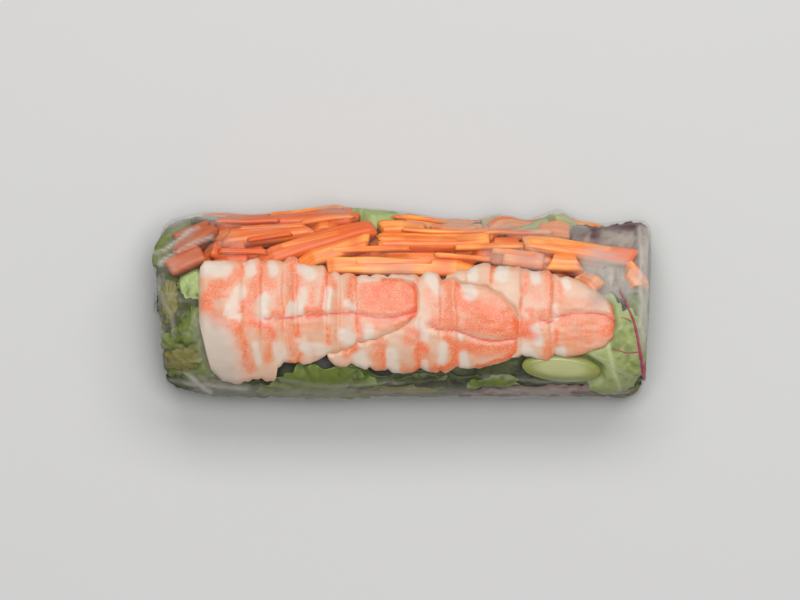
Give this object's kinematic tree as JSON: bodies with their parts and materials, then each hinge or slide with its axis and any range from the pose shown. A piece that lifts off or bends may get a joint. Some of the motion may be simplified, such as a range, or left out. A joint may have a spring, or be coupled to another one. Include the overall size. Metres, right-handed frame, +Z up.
{
  "type": "rice paper roll",
  "caption": "Summer roll: one translucent sheet of soft rice paper wrapped round cooked prawns, carrot sticks, cucumber, chard and salad leaves, lying on its seam.",
  "frame": {"origin": "under the middle of the roll, on the surface it rests on", "axes": "+X along the roll towards the prawns' tails, +Y towards the side with the carrot sticks, +Z up"},
  "size_m": [0.1248, 0.0502, 0.0366],
  "materials": {
    "rice_paper": "moist, smooth, translucent",
    "prawn": "cooked, cream to orange, moist",
    "carrot": "raw, cut",
    "cucumber": "raw, cut, moist",
    "chard": "fresh leaf with magenta rib",
    "red_lettuce": "fresh leaf",
    "green_salad": "fresh leaves"
  },
  "bodies": {
    "root": {"rice_paper": "rice_paper", "prawn_left": "prawn", "prawn_middle": "prawn", "prawn_right": "prawn", "carrot_stick_01": "carrot", "carrot_stick_02": "carrot", "carrot_stick_03": "carrot", "carrot_stick_04": "carrot", "carrot_stick_05": "carrot", "carrot_stick_06": "carrot", "carrot_stick_07": "carrot", "carrot_stick_08": "carrot", "carrot_stick_09": "carrot", "carrot_stick_10": "carrot", "carrot_stick_11": "carrot", "carrot_stick_12": "carrot", "carrot_stick_13": "carrot", "carrot_stick_14": "carrot", "carrot_stick_15": "carrot", "carrot_stick_16": "carrot", "carrot_stick_17": "carrot", "carrot_stick_18": "carrot", "carrot_stick_19": "carrot", "carrot_stick_20": "carrot", "carrot_stick_21": "carrot", "carrot_stick_22": "carrot", "carrot_stick_23": "carrot", "carrot_stick_24": "carrot", "carrot_stick_25": "carrot", "carrot_stick_26": "carrot", "cucumber_1": "cucumber", "cucumber_2": "cucumber", "cucumber_3": "cucumber", "chard_leaf": "chard", "red_lettuce_1": "red_lettuce", "red_lettuce_2": "red_lettuce", "green_salad": "green_salad"}
  },
  "joints": []
}
